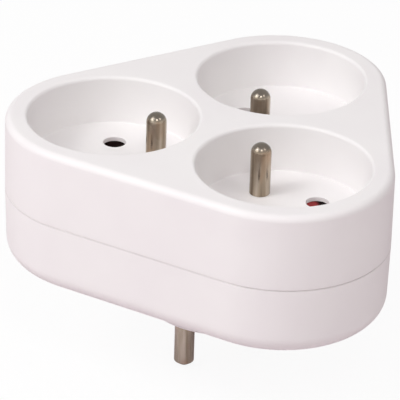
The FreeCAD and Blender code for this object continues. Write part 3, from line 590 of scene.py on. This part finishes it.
# Screws: pan heads with a cross recess, up inside the counterbores of the underside.
screw = {
    "seat": 20.4,
    "headRadius": 2.75,
    "headHeight": 2.0,
    # inward of the head's radius and down from its seat
    "headRim": ((0.08, 0.0), (0.0, 0.12), (0.0, 0.9)),
    # inward of the head's radius and up from its face
    "headCrown": ((0.12, 0.62), (0.42, 0.28), (0.95, 0.09), (1.6, 0.015)),
    "headFlat": 0.4,
    "shank": 1.5,
    "length": 20.0,
    "endRadius": 0.5,
    "endTaper": 1.6,
    "bladeLong": 2.9,
    "bladeWide": 0.62,
    "bladeDeep": 1.1,
    "bladeTaper": 0.55,
    "points": 48,
    "smoothAngle": 34.0,
}


# Two crossed blades that narrow upwards, cut into the face of a screw.
def makeCrossCutter(spot, face):
    look = screw
    blades = []
    for turn in (0.0, math.radians(90.0)):
        place = (spot.x, spot.y, face)
        bpy.ops.mesh.primitive_cube_add(size=1.0, location=place, rotation=(0.0, 0.0, turn))
        blade = bpy.context.object
        blade.scale = (look["bladeLong"] * mm, look["bladeWide"] * mm, 2.0 * look["bladeDeep"] * mm)
        bpy.ops.object.transform_apply(location=True, rotation=True, scale=True)
        for vertex in blade.data.vertices:
            if vertex.co.z > face:
                vertex.co.x = spot.x + (vertex.co.x - spot.x) * look["bladeTaper"]
                vertex.co.y = spot.y + (vertex.co.y - spot.y) * look["bladeTaper"]
        blades.append(blade)
    return blades


def makeScrews():
    look = screw
    seat, radius = look["seat"], look["headRadius"]
    face, end = seat - look["headHeight"], seat + look["length"]
    steps = [(look["endRadius"], end), (look["shank"], end - look["endTaper"]), (look["shank"], seat)]
    steps += [(radius - inward, seat - down) for inward, down in look["headRim"]]
    steps += [(radius - inward, face + up) for inward, up in look["headCrown"]]
    steps.append((look["headFlat"], face))
    spot = screwAxes[0]
    piece = turned("housingScrews", spot, steps, look["points"])
    for blade in makeCrossCutter(spot, face * mm):
        addModifier(piece, "BOOLEAN", operation="DIFFERENCE", object=blade, solver="EXACT")
        bpy.data.objects.remove(blade)
    copies = []
    for number in numbers[1:]:
        turn = math.radians(body["turnStep"] * (number - 1))
        other = piece.copy()
        other.data = piece.data.copy()
        bpy.context.scene.collection.objects.link(other)
        other.data.transform(Matrix.Rotation(turn, 4, "Z"))
        copies.append(other)
    pickOnly(piece)
    for other in copies:
        other.select_set(True)
    bpy.ops.object.join()
    smoothByAngle(piece, look["smoothAngle"])
    finishPiece(piece, "adapter", finishes["screw_steel"], "housing_screws")


# Shutters: the red slides under the contact holes, their edges softened.
shutter = {
    "edgeSoft": 0.09,
    "edgeAngle": 30.0,
    "smoothAngle": 50.0,
    "tints": ((0.33, 0.035, 0.038), (0.42, 0.06, 0.055)),
    "patch": 120.0,
    "grain": 600.0,
    "relief": 0.005,
    "rough": 0.48,
    "gloss": 0.3,
    # The near black beyond the holes' line is painted shade.
    "strip": (0.022, 0.010, 0.010),
    "stripFrom": (10.5, 9.6, 9.5),      # aside of each socket's middle line
    "stripSoft": 1.0,
}


def makeShutter(number):
    node = f"shutter_{number}"
    piece = mergedCopy(node, f"redShutter{number}")
    softenCorners(piece, shutter)
    smoothByAngle(piece, shutter["smoothAngle"])
    finishPiece(piece, f"shutter_body_{number}", shutterPlastic(number, shutter), node)


# Leaf springs: bent steel between a shutter's nose and its cradle's rib.
leafSpring = {
    "edgeSoft": 0.07,
    "edgeAngle": 40.0,
    "smoothAngle": 50.0,
}


def makeLeafSpring(number):
    node = f"shutter_spring_{number}"
    piece = mergedCopy(node, f"leafSpring{number}")
    softenCorners(piece, leafSpring)
    smoothByAngle(piece, leafSpring["smoothAngle"])
    finishPiece(piece, "adapter", finishes["spring_steel"], node)
    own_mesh(piece)


makeUpperHalf()
makeLowerHalf()
print("halves made")
for number in numbers:
    makeEarthPin(number)
    makeShutter(number)
    makeLeafSpring(number)
makePlugPin("plugPinLine", "plug_pin_line", 1)
makePlugPin("plugPinNeutral", "plug_pin_neutral", -1)
makeScrews()
print("pins, shutters, springs and screws made")

# The metalwork and cradles inside keep their CAD shapes and take their finishes.
innerSlots = {
    "ring_spacer": "insulator",
    "earth_plate": "contact_brass",
    "plug_earth_clip": "contact_brass",
    "line_bus": "contact_brass",
    "neutral_bus": "contact_brass",
}
for number in numbers:
    innerSlots[f"line_clip_{number}"] = "contact_brass"
    innerSlots[f"neutral_clip_{number}"] = "contact_brass"
    innerSlots[f"shutter_plate_{number}"] = "body_white"
for node, slot in innerSlots.items():
    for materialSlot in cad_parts[node].material_slots:
        materialSlot.material = finishes[slot]
print("inner pieces finished:", len(innerSlots))

# Camera: the photograph's viewing angle. Azimuth 0 looks along +Y. The frame's middle is set off from the
# middle of the top face by aside and above.
camera = {
    "azimuth": -30.095,
    "elevation": 28.06,
    "roll": 1.77,
    "distance": 672.72,
    "aside": 6.119,
    "above": 19.136,
    "lens": 260.39,
    "sensor": 36.0,
    "clip": (0.01, 50.0),       # metres
}


def makeCamera():
    azimuth, elevation = math.radians(camera["azimuth"]), math.radians(camera["elevation"])
    flat = math.cos(elevation)
    back = Vector((math.sin(azimuth) * flat, -math.cos(azimuth) * flat, math.sin(elevation)))
    right = (-back).cross(upwards).normalized()
    up = right.cross(-back)
    roll = math.radians(camera["roll"])
    rightRolled = right * math.cos(roll) + up * math.sin(roll)
    upRolled = up * math.cos(roll) - right * math.sin(roll)
    spot = back * camera["distance"] - rightRolled * camera["aside"] - upRolled * camera["above"]
    spot = (spot + upwards * body["top"]) * mm
    data = bpy.data.cameras.new("photoCamera")
    data.lens = camera["lens"]
    data.sensor_width = camera["sensor"]
    data.clip_start, data.clip_end = camera["clip"]
    viewer = bpy.data.objects.new("photoCamera", data)
    bpy.context.scene.collection.objects.link(viewer)
    turn = Matrix((rightRolled, upRolled, back)).transposed()
    viewer.matrix_world = Matrix.Translation(spot) @ turn.to_4x4()
    bpy.context.scene.camera = viewer


makeCamera()

# Studio: a pale floor under the pins. A large soft lamp stands to the left of the camera, with a small one
# beside it that makes the metal glint. One near the camera fills in, and a weak warm one is to the right.
studio = {
    "floorSize": 8.0,           # metres
    "floorGap": 0.05,
    "floorTone": (0.765, 0.68, 0.705),
    "floorSeen": (1.0, 1.0, 1.0),
    "floorShown": 0.92,         # how much of the plain white the camera sees on the floor
    "floorRough": 0.9,
    "floorGloss": 0.1,
    "ambient": 0.41,
    "ambientTone": (1.0, 0.935, 0.95),
    "aimHeight": 35.0,
    "lamps": (
        # name, metres right of the camera, towards it and up, metres across, watts, colour
        ("keyLamp", -0.68, 0.32, 0.66, 0.7, 4.5, (0.99, 1.0, 1.0)),
        ("keySpark", -0.66, 0.31, 0.64, 0.15, 1.0, (0.99, 1.0, 1.0)),
        ("frontLamp", 0.06, 0.67, 0.74, 0.26, 1.9, (0.99, 1.0, 1.0)),
        ("sideLamp", 0.58, 0.33, 0.74, 0.3, 1.0, (1.0, 0.97, 0.94)),
    ),
}


# The floor keeps its shadows and its bounce, and the camera sees it near white.
def makeFloor():
    level = cadLow.z - studio["floorGap"] * mm
    bpy.ops.mesh.primitive_plane_add(size=studio["floorSize"], location=(0.0, 0.0, level))
    floor = bpy.context.object
    floor.name = "studioFloor"
    material, tree, shader = newMaterial("floorPaper")
    shader.inputs["Roughness"].default_value = studio["floorRough"]
    shader.inputs["Specular IOR Level"].default_value = studio["floorGloss"]
    glow = tree.nodes.new("ShaderNodeEmission")
    glow.inputs["Color"].default_value = plainWhite
    path = tree.nodes.new("ShaderNodeLightPath")
    tone = tree.nodes.new("ShaderNodeValToRGB")
    tone.color_ramp.elements[0].color = (*studio["floorTone"], 1.0)
    tone.color_ramp.elements[1].color = (*studio["floorSeen"], 1.0)
    tree.links.new(path.outputs["Is Camera Ray"], tone.inputs["Fac"])
    tree.links.new(tone.outputs["Color"], shader.inputs["Base Color"])
    share = addMath(tree, "MULTIPLY", path.outputs["Is Camera Ray"], studio["floorShown"])
    mix = tree.nodes.new("ShaderNodeMixShader")
    output = next(node for node in tree.nodes if node.type == "OUTPUT_MATERIAL")
    tree.links.new(share, mix.inputs["Fac"])
    tree.links.new(shader.outputs["BSDF"], mix.inputs[1])
    tree.links.new(glow.outputs["Emission"], mix.inputs[2])
    tree.links.new(mix.outputs["Shader"], output.inputs["Surface"])
    floor.data.materials.append(material)


# The world is white to the camera, gloss and glass, and gives the rest a dimmer, slightly pink light.
def makeWorld():
    world = bpy.data.worlds.new("studioWorld")
    bpy.context.scene.world = world
    world.use_nodes = True
    tree = world.node_tree
    tree.nodes.clear()
    path = tree.nodes.new("ShaderNodeLightPath")
    seen = addMath(tree, "MAXIMUM", path.outputs["Is Camera Ray"], path.outputs["Is Glossy Ray"])
    seen = addMath(tree, "MAXIMUM", seen, path.outputs["Is Transmission Ray"])
    ambient = tree.nodes.new("ShaderNodeBackground")
    ambient.inputs["Color"].default_value = (*studio["ambientTone"], 1.0)
    ambient.inputs["Strength"].default_value = studio["ambient"]
    white = tree.nodes.new("ShaderNodeBackground")
    white.inputs["Color"].default_value = plainWhite
    white.inputs["Strength"].default_value = 1.0
    mix = tree.nodes.new("ShaderNodeMixShader")
    output = tree.nodes.new("ShaderNodeOutputWorld")
    tree.links.new(seen, mix.inputs["Fac"])
    tree.links.new(ambient.outputs["Background"], mix.inputs[1])
    tree.links.new(white.outputs["Background"], mix.inputs[2])
    tree.links.new(mix.outputs["Shader"], output.inputs["Surface"])


def makeLamps():
    azimuth = math.radians(camera["azimuth"])
    right = Vector((math.cos(azimuth), math.sin(azimuth), 0.0))
    nearer = Vector((math.sin(azimuth), -math.cos(azimuth), 0.0))
    aim = upwards * studio["aimHeight"] * mm
    for name, aside, near, up, size, watts, colour in studio["lamps"]:
        light = bpy.data.lights.new(name, "AREA")
        light.color = colour
        light.shape = "SQUARE"
        light.size = size
        light.energy = watts
        lamp = bpy.data.objects.new(name, light)
        bpy.context.scene.collection.objects.link(lamp)
        lamp.location = aim + right * aside + nearer * near + upwards * up
        lamp.rotation_euler = (aim - lamp.location).to_track_quat("-Z", "Y").to_euler()


makeFloor()
makeWorld()
makeLamps()
bpy.context.scene.view_settings.view_transform = "Standard"
print("camera and studio made")
